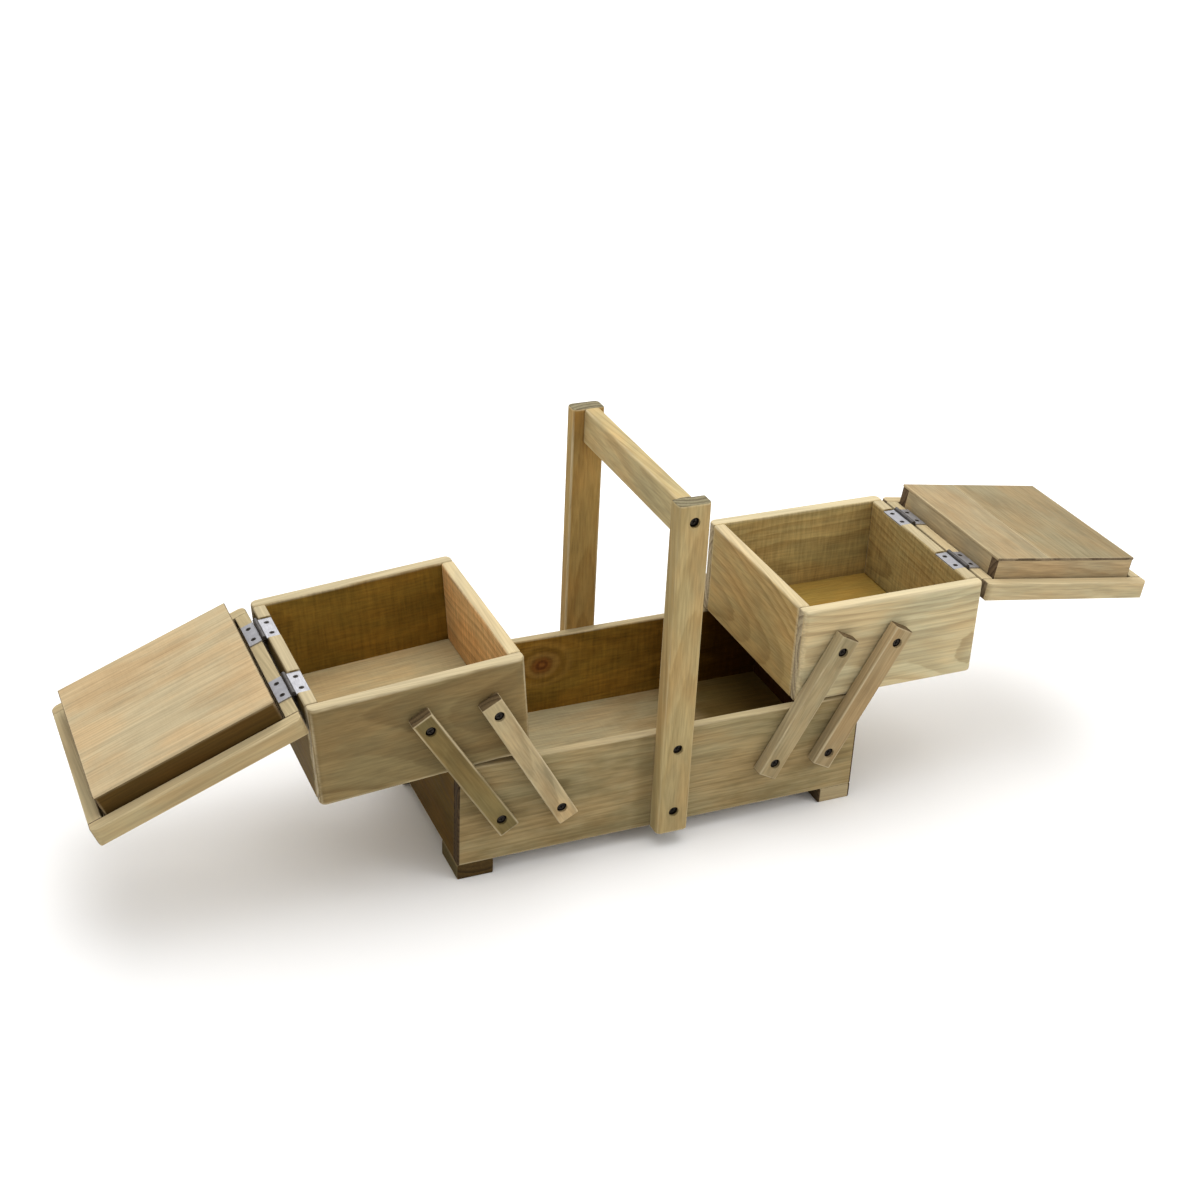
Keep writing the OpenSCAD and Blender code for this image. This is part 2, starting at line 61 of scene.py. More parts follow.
# Camera
# The box is seen from its front left and from above, with a longish lens and
# the head tipped a little. Angles are in radians.
sensor_width = 36.0
lens_in_frame_widths = 1.58925
eye = mathutils.Vector((-0.5214, -1.1088, 0.8185))
yaw, pitch, roll = 0.423, -0.496, 0.049
ahead = mathutils.Vector(
    (math.sin(yaw) * math.cos(pitch), math.cos(yaw) * math.cos(pitch), math.sin(pitch))
)
level = mathutils.Vector((math.cos(yaw), -math.sin(yaw), 0.0))
above = level.cross(ahead)
across = math.cos(roll) * level + math.sin(roll) * above
upward = math.cos(roll) * above - math.sin(roll) * level
bpy.ops.object.camera_add(location=eye)
camera = bpy.context.object
camera.rotation_euler = mathutils.Matrix((across, upward, -ahead)).transposed().to_euler()
camera.data.sensor_width = sensor_width
camera.data.lens = sensor_width * lens_in_frame_widths
bpy.context.scene.camera = camera

# Studio
# A wide, nearly white floor, an even white room, a large soft light overhead
# and a second one at the front right.
bpy.ops.mesh.primitive_plane_add(size=12.0, location=(0, 0, cad_low[2]))
floor = bpy.context.object
floor.name = "studio_floor"
floor_paint = bpy.data.materials.new("floor paint")
floor_paint.use_nodes = True
paint = floor_paint.node_tree.nodes["Principled BSDF"]
paint.inputs["Base Color"].default_value = (0.93, 0.93, 0.93, 1)
paint.inputs["Roughness"].default_value = 0.9
floor.data.materials.append(floor_paint)
floor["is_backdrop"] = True

room = bpy.data.worlds.new("white room")
room.use_nodes = True
room.node_tree.nodes["Background"].inputs["Color"].default_value = (1.0, 0.99, 0.98, 1)
room.node_tree.nodes["Background"].inputs["Strength"].default_value = 0.75
bpy.context.scene.world = room
for name, place, target, size, power in (
    ("overhead", (0.1, 0.1, 2.0), (0, 0, 0.1), 2.0, 26.0),
    ("front_right", (1.6, -1.5, 1.1), (0.1, 0, 0.1), 1.0, 10.0),
    ("behind", (0.6, 3.2, 2.6), (0.4, 2.4, 0), 3.0, 60.0),
):
    bpy.ops.object.light_add(type="AREA", location=place)
    lamp = bpy.context.object
    lamp.name = name
    lamp.data.energy = power
    lamp.data.size = size
    aim = mathutils.Vector(target) - mathutils.Vector(place)
    lamp.rotation_euler = aim.to_track_quat("-Z", "Y").to_euler()
bpy.context.scene.view_settings.view_transform = "Standard"

# Bottom box
# Four thin pine boards butted together: the front and back run right through
# and show their dark ends. All edges are eased with sandpaper, and the wood
# has a thin olive-grey stain. The insides are painted darker and browner as
# shade inside the box.


def add_node(tree, kind, **settings):
    node = tree.nodes.new("ShaderNode" + kind)
    for key, value in settings.items():
        setattr(node, key, value)
    return node


def give(tree, socket, value):
    if isinstance(value, bpy.types.NodeSocket):
        tree.links.new(value, socket)
    else:
        socket.default_value = value


def reckon(tree, operation, *values):
    node = add_node(tree, "Math", operation=operation)
    for socket, value in zip(node.inputs, values):
        give(tree, socket, value)
    return node.outputs[0]


def reckon_vector(tree, operation, *values):
    node = add_node(tree, "VectorMath", operation=operation)
    for socket, value in zip(node.inputs, values):
        give(tree, socket, value)
    return node.outputs["Value" if operation in ("LENGTH", "DOT_PRODUCT") else "Vector"]


def fade(tree, value, start, end, low=0.0, high=1.0):
    node = add_node(tree, "MapRange", interpolation_type="SMOOTHSTEP")
    for socket, given in zip(node.inputs, (value, start, end, low, high)):
        give(tree, socket, given)
    return node.outputs[0]


def colour_mix(tree, share, first, second, way="MIX"):
    node = add_node(tree, "Mix", data_type="RGBA", blend_type=way)
    give(tree, node.inputs[0], share)
    give(tree, node.inputs[6], first)
    give(tree, node.inputs[7], second)
    return node.outputs[2]


def mottle(tree, place, scale, detail=2.0, roughness=0.5):
    stretched = reckon_vector(tree, "MULTIPLY", place, scale)
    node = add_node(tree, "TexNoise")
    give(tree, node.inputs["Vector"], stretched)
    node.inputs["Scale"].default_value = 1.0
    node.inputs["Detail"].default_value = detail
    node.inputs["Roughness"].default_value = roughness
    return node


def new_group(name, takes, gives):
    group = bpy.data.node_groups.new(name, "ShaderNodeTree")
    for socket, kind in takes:
        group.interface.new_socket(socket, in_out="INPUT", socket_type="NodeSocket" + kind)
    for socket, kind in gives:
        group.interface.new_socket(socket, in_out="OUTPUT", socket_type="NodeSocket" + kind)
    start = group.nodes.new("NodeGroupInput")
    finish = group.nodes.new("NodeGroupOutput")
    return group, start.outputs, finish.inputs


# The knot: how far it pushes the grain aside, its dark core and its warm surround.
# Distances from its middle are counted in knot radii.
knot_flatness = (0.8, 1, 0)
knot_wobble = 0.5
push_fall, push_gain = -0.45, 2.6
core_outside, core_inside = 1.7, 0.7
surround_fall = -0.14
ring_rate, swirl_rate = 7.0, 4.6
knot, takes, gives = new_group(
    "knot",
    (("Board", "Vector"), ("Knot", "Vector")),
    (("Push", "Vector"), ("Core", "Float"), ("Surround", "Float"), ("Rings", "Float"),
     ("Swirl", "Float")),
)
parts = add_node(knot, "SeparateXYZ")
give(knot, parts.inputs[0], takes["Knot"])
middle = add_node(knot, "CombineXYZ")
give(knot, middle.inputs[0], parts.outputs[0])
give(knot, middle.inputs[1], parts.outputs[1])
off_middle = reckon_vector(knot, "SUBTRACT", takes["Board"], middle.outputs[0])
flat = reckon_vector(knot, "MULTIPLY", off_middle, knot_flatness)
away = reckon_vector(knot, "LENGTH", flat)
wobble = mottle(knot, takes["Board"], (140, 140, 140))
radius = reckon(knot, "MAXIMUM", parts.outputs[2], 0.0001)
reach = reckon(knot, "DIVIDE", away, radius)
reach = reckon(knot, "MULTIPLY_ADD", wobble.outputs[0], knot_wobble, reach)
present = reckon(knot, "GREATER_THAN", parts.outputs[2], 0.0005)
fall = reckon(knot, "EXPONENT", reckon(knot, "MULTIPLY", reach, push_fall))
push = reckon(knot, "MULTIPLY", reckon(knot, "MULTIPLY", fall, radius), present)
aside = add_node(knot, "VectorMath", operation="SCALE")
give(knot, aside.inputs[0], reckon_vector(knot, "NORMALIZE", flat))
give(knot, aside.inputs["Scale"], reckon(knot, "MULTIPLY", push, push_gain))
give(knot, gives["Push"], aside.outputs[0])
core = fade(knot, reach, core_outside, core_inside)
give(knot, gives["Core"], reckon(knot, "MULTIPLY", core, present))
halo = reckon(knot, "MULTIPLY", reckon(knot, "POWER", reach, 2.0), surround_fall)
halo = reckon(knot, "EXPONENT", halo)
give(knot, gives["Surround"], reckon(knot, "MULTIPLY", halo, present))
give(knot, gives["Rings"], reckon(knot, "SINE", reckon(knot, "MULTIPLY", reach, ring_rate)))
give(knot, gives["Swirl"], reckon(knot, "SINE", reckon(knot, "MULTIPLY", reach, swirl_rate)))

# The figure of a pine board: growth rings cut by its faces, fibres, and patches
# where the stain took more. Each scale is in waves a metre, the first along the grain.
drift_waves = (5, 9, 9)
ring_edge_waves = (40, 260, 260)
fibre_waves = (16, 700, 700)
streak_waves = (9, 70, 70)
blotch_waves = (13, 34, 34)
saw_waves = (420, 45, 45)
figure, takes, gives = new_group(
    "pine figure",
    (("Grain", "Vector"), ("Push", "Vector"), ("Ring Width", "Float"), ("Wander", "Float")),
    (("Late", "Float"), ("Fibre", "Float"), ("Streak", "Float"), ("Patch", "Float"), ("Tint", "Float"),
     ("Sawn", "Float")),
)
drift = mottle(figure, takes["Grain"], drift_waves, 1.5)
drift = reckon_vector(figure, "SUBTRACT", drift.outputs["Color"], (0.5, 0.5, 0.5))
drift_node = add_node(figure, "VectorMath", operation="SCALE")
give(figure, drift_node.inputs[0], drift)
give(figure, drift_node.inputs["Scale"], takes["Wander"])
path = reckon_vector(figure, "ADD", takes["Grain"], drift_node.outputs[0])
path = reckon_vector(figure, "SUBTRACT", path, takes["Push"])
out_from_pith = reckon_vector(figure, "LENGTH", reckon_vector(figure, "MULTIPLY", path, (0, 1, 1)))
rough_edge = mottle(figure, takes["Grain"], ring_edge_waves)
count = reckon(figure, "DIVIDE", out_from_pith, takes["Ring Width"])
count = reckon(figure, "MULTIPLY_ADD", rough_edge.outputs[0], 0.35, count)
within = reckon(figure, "FRACT", count)
darkens = fade(figure, within, 0.2, 0.86)
late = reckon(figure, "MULTIPLY", darkens, fade(figure, within, 1.0, 0.9))
dice = add_node(figure, "TexWhiteNoise", noise_dimensions="1D")
give(figure, dice.inputs["W"], reckon(figure, "FLOOR", count))
strength = fade(figure, dice.outputs["Value"], 0.0, 1.0, 0.3, 1.0)
give(figure, gives["Late"], reckon(figure, "MULTIPLY", late, strength))
give(figure, gives["Fibre"], mottle(figure, takes["Grain"], fibre_waves).outputs[0])
give(figure, gives["Streak"], mottle(figure, path, streak_waves, 3.0, 0.6).outputs[0])
blotches = mottle(figure, path, blotch_waves, 4.0, 0.6)
give(figure, gives["Patch"], blotches.outputs[0])
tints = add_node(figure, "SeparateColor")
give(figure, tints.inputs[0], blotches.outputs["Color"])
give(figure, gives["Tint"], tints.outputs[2])
saw_marks = mottle(figure, takes["Grain"], saw_waves, 3.0, 0.6)
give(figure, gives["Sawn"], saw_marks.outputs[0])

# Where a board's faces are: its sanded edges, its narrow edge faces, its two ends
# and the side that looks into the box; the deep faces of holes, which get painted
# shade, and a band of painted shadow along the board. A mask runs from nothing
# at skin_out to full at skin_in, in metres.
skin_out, skin_in = 0.0007, 0.0003
inner_skin_out = 0.0009
hole_from, hole_to = 0.0016, 0.0027
end_softness = 0.0004
shape, takes, gives = new_group(
    "board faces",
    (("Board", "Vector"), ("Half", "Vector"), ("Ease", "Float"), ("Wrap", "Float"),
     ("Stain", "Vector")),
    (("Edge", "Float"), ("Rim", "Float"), ("End", "Float"), ("Inside", "Float"), ("Hole", "Float"),
     ("Stained", "Float")),
)
left_over = reckon_vector(
    shape, "SUBTRACT", takes["Half"], reckon_vector(shape, "ABSOLUTE", takes["Board"])
)
sides = add_node(shape, "SeparateXYZ")
give(shape, sides.inputs[0], left_over)
x, y, z = sides.outputs
nearer = reckon(shape, "MINIMUM", x, y)
farther = reckon(shape, "MAXIMUM", x, y)
second = reckon(shape, "MAXIMUM", nearer, reckon(shape, "MINIMUM", farther, z))
worn_from = reckon(shape, "MULTIPLY", takes["Ease"], 1.7)
worn_to = reckon(shape, "MULTIPLY", takes["Ease"], 0.4)
give(shape, gives["Edge"], fade(shape, second, worn_from, worn_to))
end_from = reckon(shape, "ADD", takes["Wrap"], end_softness)
give(shape, gives["End"], fade(shape, x, end_from, takes["Wrap"]))
give(shape, gives["Rim"], fade(shape, y, skin_out, skin_in))
depth = reckon(shape, "MINIMUM", nearer, z)
give(shape, gives["Hole"], fade(shape, depth, hole_from, hole_to))
raw = add_node(shape, "SeparateXYZ")
give(shape, raw.inputs[0], reckon_vector(shape, "SUBTRACT", takes["Half"], takes["Board"]))
give(shape, gives["Inside"], fade(shape, raw.outputs[2], inner_skin_out, skin_in))
spot = add_node(shape, "SeparateXYZ")
give(shape, spot.inputs[0], takes["Stain"])
along_board = add_node(shape, "SeparateXYZ")
give(shape, along_board.inputs[0], takes["Board"])
ragged = mottle(shape, takes["Board"], (30, 60, 60), 3.0)
off_spot = reckon(shape, "SUBTRACT", along_board.outputs[0], spot.outputs[0])
off_spot = reckon(shape, "ABSOLUTE", off_spot)
off_spot = reckon(shape, "DIVIDE", off_spot, reckon(shape, "MAXIMUM", spot.outputs[1], 0.0001))
off_spot = reckon(shape, "MULTIPLY_ADD", ragged.outputs[0], 0.6, off_spot)
in_shadow = fade(shape, off_spot, 1.3, 0.4)
give(shape, gives["Stained"], reckon(shape, "MULTIPLY", in_shadow, spot.outputs[2]))


def pine(name, light, dark, end, edge, ring_width=0.0042, wander=0.016, ringiness=0.4,
         streakiness=0.5, patchiness=0.6, ease=0.0012, wrap=0.0003, rim=0.45, sawn=0.9,
         patch_colour=(0.20, 0.165, 0.095, 1)):
    """A pine finish: colours for early and late wood, end grain and sanded edges; the edge colour also
    paints light on the narrow edge faces.
    """
    finish = bpy.data.materials.new(name)
    finish.use_nodes = True
    tree = finish.node_tree
    wood = tree.nodes["Principled BSDF"]
    noted = {}
    for word in ("board", "half", "grain", "knot", "stain", "tone", "lining"):
        noted[word] = add_node(tree, "Attribute", attribute_name=word).outputs["Vector"]

    def place(group, **values):
        node = tree.nodes.new("ShaderNodeGroup")
        node.node_tree = group
        for key, value in values.items():
            give(tree, node.inputs[key.replace("_", " ")], value)
        return node.outputs

    mark = place(knot, Board=noted["board"], Knot=noted["knot"])
    lines = place(figure, Grain=noted["grain"], Push=mark["Push"], Ring_Width=ring_width,
                  Wander=wander)
    faces = place(shape, Board=noted["board"], Half=noted["half"], Ease=ease, Wrap=wrap,
                  Stain=noted["stain"])
    streaks = reckon(tree, "MULTIPLY_ADD", lines["Streak"], streakiness, 0.25 - streakiness / 2)
    depth = reckon(tree, "MULTIPLY_ADD", lines["Late"], ringiness, streaks)
    colour = colour_mix(tree, reckon(tree, "MAXIMUM", depth, 0.0), light, dark)
    patches = fade(tree, lines["Patch"], 0.42, 0.72, 0.0, patchiness)
    colour = colour_mix(tree, patches, colour, patch_colour)
    tint = fade(tree, lines["Tint"], 0.35, 0.65)
    tint = colour_mix(tree, tint, (1.055, 1.0, 0.98, 1), (0.975, 1.04, 1.13, 1))
    colour = colour_mix(tree, 1.0, colour, tint, "MULTIPLY")
    # The board's tone outside and its colour inside are partly its own tone and partly painted light
    # and shade.
    shade = colour_mix(tree, faces["Inside"], noted["tone"], noted["lining"])
    colour = colour_mix(tree, 1.0, colour, shade, "MULTIPLY")
    # Painted shadow: a band along the board, on one face only, darkened towards brown.
    stained = colour_mix(tree, 1.0, colour, (0.26, 0.19, 0.05, 1), "MULTIPLY")
    colour = colour_mix(tree, faces["Stained"], colour, stained)
    swirl = fade(tree, mark["Swirl"], -1.0, 1.0)
    swirl = colour_mix(tree, swirl, (0.10, 0.05, 0.01, 1), (0.34, 0.20, 0.06, 1))
    colour = colour_mix(tree, reckon(tree, "MULTIPLY", mark["Surround"], 0.75), colour, swirl)
    ring = fade(tree, mark["Rings"], -1.0, 1.0)
    core = colour_mix(tree, ring, (0.13, 0.045, 0.010, 1), (0.25, 0.10, 0.022, 1))
    colour = colour_mix(tree, mark["Core"], colour, core)
    ends = colour_mix(tree, lines["Late"], end, (end[0] * 0.45, end[1] * 0.42, end[2] * 0.4, 1))
    uneven = fade(tree, lines["Patch"], 0.35, 0.65, 0.15, 0.8)
    # The narrow edge faces get the edge colour by rim: partly wear and less stain, partly painted
    # light from above.
    worn_and_lit = reckon(tree, "MULTIPLY", faces["Edge"], uneven)
    worn_and_lit = reckon(tree, "MAXIMUM", worn_and_lit, reckon(tree, "MULTIPLY", faces["Rim"], rim))
    colour = colour_mix(tree, worn_and_lit, colour, edge)
    colour = colour_mix(tree, faces["End"], colour, ends)
    # Painted shade: the deep faces of holes and recesses turn near-black.
    colour = colour_mix(tree, faces["Hole"], colour, (0.018, 0.012, 0.008, 1))
    speckle = fade(tree, lines["Fibre"], 0.25, 0.75, 0.86, 1.13)
    rough_sawn = reckon(tree, "SUBTRACT", lines["Sawn"], 0.5)
    rough_sawn = reckon(tree, "MULTIPLY", rough_sawn, faces["Inside"])
    speckle = reckon(tree, "MULTIPLY_ADD", rough_sawn, sawn, speckle)
    speckled = add_node(tree, "VectorMath", operation="SCALE")
    give(tree, speckled.inputs[0], colour)
    give(tree, speckled.inputs["Scale"], speckle)
    give(tree, wood.inputs["Base Color"], speckled.outputs[0])
    give(tree, wood.inputs["Roughness"], fade(tree, lines["Late"], 0.0, 1.0, 0.78, 0.66))
    wood.inputs["Specular IOR Level"].default_value = 0.07
    grainy = reckon(tree, "MULTIPLY_ADD", lines["Late"], 0.6, lines["Fibre"])
    grainy = reckon(tree, "MULTIPLY_ADD", rough_sawn, 2.0, grainy)
    bump = add_node(tree, "Bump")
    bump.inputs["Strength"].default_value = 0.35
    bump.inputs["Distance"].default_value = 0.0003
    give(tree, bump.inputs["Height"], grainy)
    give(tree, wood.inputs["Normal"], bump.outputs[0])
    return finish


def only(piece):
    bpy.ops.object.select_all(action="DESELECT")
    piece.select_set(True)
    bpy.context.view_layer.objects.active = piece


def lay_grain(piece, turn, along, inward, key, tone=(1, 1, 1), lining=(1, 1, 1),
              knot_at=(0, 0, 0), stain=(0, 0, 0), stained_inside=True):
    """Notes on the mesh where each point lies in its own board, with x along the grain.

    A painted shadow band is its place along the board, its reach and its strength, on one face only.
    """
    back = mathutils.Matrix.Rotation(math.radians(-turn), 3, "Y")
    flat = [back @ v.co for v in piece.data.vertices]
    low = [min(p[i] for p in flat) for i in range(3)]
    high = [max(p[i] for p in flat) for i in range(3)]
    first = "xyz".index(along)
    third = "xyz".index(inward[1])
    second = 3 - first - third
    sign = 1.0 if inward[0] == "+" else -1.0
    order = (first, second, third)
    middle = [(low[i] + high[i]) / 2 for i in order]
    half = [(high[i] - low[i]) / 2 for i in order]
    chance = random.Random(key)
    along_log = chance.uniform(-3, 3)
    across_log = chance.uniform(-0.025, 0.025)
    from_pith = chance.choice((-1, 1)) * chance.uniform(0.02, 0.06)
    slope = chance.uniform(-0.09, 0.09)
    notes = {"board": [], "half": [], "grain": [], "knot": [], "stain": [], "tone": [], "lining": []}
    for p in flat:
        q = [p[i] - m for i, m in zip(order, middle)]
        q[2] *= sign
        notes["board"] += q
        notes["half"] += half
        notes["grain"] += [q[0] + along_log, q[1] + across_log, q[2] + from_pith + slope * q[0]]
        notes["knot"] += knot_at
        in_shadow = (q[2] > 0) == stained_inside
        notes["stain"] += [stain[0], stain[1], stain[2] if in_shadow else 0.0]
        notes["tone"] += tone
        notes["lining"] += lining
    for word, values in notes.items():
        note = piece.data.attributes.new(word, "FLOAT_VECTOR", "POINT")
        note.data.foreach_set("vector", values)


def ease_edges(piece, turn, along, thick, ease):
    """Rounds the outer edges of a board, and leaves its holes and grooves crisp."""
    back = mathutils.Matrix.Rotation(math.radians(-turn), 3, "Y")
    flat = [back @ v.co for v in piece.data.vertices]
    low = [min(p[i] for p in flat) for i in range(3)]
    high = [max(p[i] for p in flat) for i in range(3)]
    near = 0.00012
    outer = []
    for p in flat:
        outer.append([min(p[i] - low[i], high[i] - p[i]) < near for i in range(3)])
    skin = "xyz".index(thick)
    only(piece)
    bpy.ops.object.mode_set(mode="EDIT")
    bpy.ops.mesh.select_all(action="DESELECT")
    bpy.ops.mesh.select_mode(type="EDGE")
    bpy.ops.mesh.edges_select_sharp(sharpness=math.radians(35))
    bpy.ops.object.mode_set(mode="OBJECT")
    for edge in piece.data.edges:
        if not edge.select:
            continue
        a, b = (outer[i] for i in edge.vertices)
        shared = [m and n for m, n in zip(a, b)]
        plain = any(shared[i] for i in range(3) if i != skin)
        edge.select = sum(shared) >= 2 or plain
    for corner in piece.data.vertices:
        corner.select = False
    for face in piece.data.polygons:
        face.select = False
    bpy.ops.object.mode_set(mode="EDIT")
    bpy.ops.mesh.bevel(offset=ease, offset_type="OFFSET", segments=3, profile=0.5,
                       affect="EDGES", clamp_overlap=False)
    bpy.ops.object.mode_set(mode="OBJECT")


def board(node, body, finish, slot, along, inward, turn=0.0, ease=0.0012, **looks):
    """One wooden piece: its cut shape with eased outer edges, its grain and its finish."""
    piece = bpy.data.objects.new(node + "_wood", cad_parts[node].data.copy())
    bpy.context.scene.collection.objects.link(piece)
    only(piece)
    bpy.ops.object.mode_set(mode="EDIT")
    bpy.ops.mesh.select_all(action="SELECT")
    bpy.ops.mesh.remove_doubles(threshold=0.00001)
    bpy.ops.mesh.dissolve_limited(angle_limit=math.radians(1))
    bpy.ops.object.mode_set(mode="OBJECT")
    if ease:
        ease_edges(piece, turn, along, inward[1], ease)
    lay_grain(piece, turn, along, inward, node, **looks)
    bpy.ops.object.shade_smooth_by_angle(angle=math.radians(40))
    even = piece.modifiers.new("even", "WEIGHTED_NORMAL")
    even.keep_sharp = True
    bpy.ops.object.modifier_apply(modifier=even.name)
    piece.data.materials.clear()
    piece.data.materials.append(finish)
    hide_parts(node)
    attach(piece, body)


box_pine = pine("box pine", light=(0.38, 0.30, 0.16, 1), dark=(0.20, 0.145, 0.065, 1),
                end=(0.07, 0.045, 0.022, 1), edge=(0.50, 0.41, 0.25, 1), ring_width=0.0035,
                wrap=0.0013, patchiness=0.8, patch_colour=(0.17, 0.125, 0.055, 1))
# The front's outer face gets a band of painted shadow just left of the front upright, and its inside
# is painted dark as shade.
board("box_front", "box", box_pine, "pine", "x", "+y", tone=(0.9, 0.88, 0.8),
      lining=(0.4, 0.3, 0.15), stain=(-0.017, 0.011, 0.27), stained_inside=False)
# The back's inside is painted near-black towards its right end, as painted shadow of the right tray
# above.
board("box_back", "box", box_pine, "pine", "x", "-y", lining=(0.9, 0.64, 0.18),
      knot_at=(-0.036, 0.0157, 0.0066), stain=(0.135, 0.14, 1.0))
# The left end's tone is painted dark as the shade on that end.
board("box_left_end", "box", box_pine, "pine_dark", "y", "+x", tone=(0.31, 0.225, 0.075),
      lining=(0.6, 0.5, 0.3))
# The right end's inside is painted near-black as shade under the right tray.
board("box_right_end", "box", box_pine, "pine_dark", "y", "-x", tone=(0.6, 0.55, 0.42),
      lining=(0.16, 0.08, 0.04))

# Bottom box's floor
# A sheet of thin plywood let into grooves in the four boards.
floor_ply = pine("floor ply", light=(0.50, 0.40, 0.225, 1), dark=(0.34, 0.255, 0.13, 1),
                 end=(0.2, 0.14, 0.08, 1), edge=(0.4, 0.32, 0.2, 1), ring_width=0.009,
                 wander=0.04, ringiness=0.12, streakiness=0.25, patchiness=0.2, rim=0.0, sawn=0.15)
# The floor's right part is painted darker, as painted shadow under the right tray.
board("box_floor", "box", floor_ply, "ply", "x", "+z", ease=0, lining=(0.9, 0.9, 0.86),
      stain=(0.125, 0.14, 0.93))

# Feet
# Four short offcuts of the same pine, set flush with the corners, with their end grain
# to the front and back.
foot_pine = pine("foot pine", light=(0.20, 0.15, 0.07, 1), dark=(0.10, 0.07, 0.03, 1),
                 end=(0.068, 0.041, 0.013, 1), edge=(0.20, 0.15, 0.075, 1), rim=0.0)
foot_ease = 0.001
board("front_left_foot", "box", foot_pine, "pine_dark", "y", "+z", ease=foot_ease,
      tone=(0.56, 0.52, 0.37))
board("front_right_foot", "box", box_pine, "pine_dark", "x", "+z", ease=foot_ease,
      tone=(0.8, 0.76, 0.66))
board("back_left_foot", "box", foot_pine, "pine_dark", "y", "+z", ease=foot_ease)
board("back_right_foot", "box", foot_pine, "pine_dark", "x", "+z", ease=foot_ease)

# Carrying frame
# Two uprights of clean pine screwed to the box's long sides, with their outer
# corners rounded, and a bar between their tops.
frame_pine = pine("frame pine", light=(0.55, 0.42, 0.215, 1), dark=(0.36, 0.245, 0.10, 1),
                  end=(0.23, 0.20, 0.12, 1), edge=(0.56, 0.46, 0.28, 1), ring_width=0.0045,
                  wander=0.006, patchiness=0.35, rim=0.0, sawn=0.0)
board("front_post", "box", frame_pine, "pine_light", "z", "+y", tone=(0.77, 0.75, 0.66),
      lining=(0.7, 0.6, 0.45))
board("back_post", "box", frame_pine, "pine_light", "z", "-y", tone=(0.8, 0.7, 0.5),
      lining=(0.69, 0.56, 0.33))
board("carry_bar", "box", frame_pine, "pine_light", "y", "+x", tone=(0.92, 0.93, 0.88))

# Screws
# Dark wood screws, sunk well below the surface, and small ones in the hinges. Their near-black steel
# is painted shade that stands in for deeper holes.
screw_steel = bpy.data.materials.new("blackened steel")
screw_steel.use_nodes = True
tree = screw_steel.node_tree
steel = tree.nodes["Principled BSDF"]
where = add_node(tree, "TexCoord").outputs["Object"]
dark_mottle = mottle(tree, where, (900, 900, 900), 3.0)
# Painted shade: the steel is kept near-black for the depth of the holes.
black = colour_mix(tree, dark_mottle.outputs[0], (0.008, 0.007, 0.006, 1), (0.05, 0.04, 0.032, 1))
give(tree, steel.inputs["Base Color"], black)
give(tree, steel.inputs["Roughness"], fade(tree, dark_mottle.outputs[0], 0.2, 0.8, 0.35, 0.6))
steel.inputs["Metallic"].default_value = 0.8


def fitting(node, finish):
    """A metal piece that keeps its own shape."""
    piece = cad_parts[node]
    piece.data.materials.clear()
    piece.data.materials.append(finish)


for node in ("post_screws", "bar_screws", "box_pivot_screws", "left_tray_pivot_screws",
             "right_tray_pivot_screws"):
    fitting(node, screw_steel)

# Arms
# Eight square-ended sticks, two at each face of each side, turning on screws
# at both ends. Their ends are dark end grain. Each lean is in degrees from upright.
arm_pine = pine("arm pine", light=(0.44, 0.355, 0.20, 1), dark=(0.24, 0.18, 0.09, 1),
                end=(0.13, 0.09, 0.045, 1), edge=(0.52, 0.43, 0.27, 1), ring_width=0.0045,
                wander=0.008, ease=0.0011, rim=0.25, sawn=0.0)
lean = {"left_outer": -32.034, "left_inner": -29.623, "right_outer": 28.852, "right_inner": 28.852}
arm_tone = {"left_outer": (0.46, 0.42, 0.28), "left_inner": (1.06, 1.0, 0.93),
            "right_outer": (0.87, 0.8, 0.73), "right_inner": (0.8, 0.78, 0.73)}
for side in ("left", "right"):
    for face, inward in (("front", "+y"), ("back", "-y")):
        for which in ("outer", "inner"):
            name = side + "_" + face + "_" + which + "_arm"
            board(name, name, arm_pine, "pine_light", "z", inward, turn=lean[side + "_" + which],
                  tone=arm_tone[side + "_" + which])

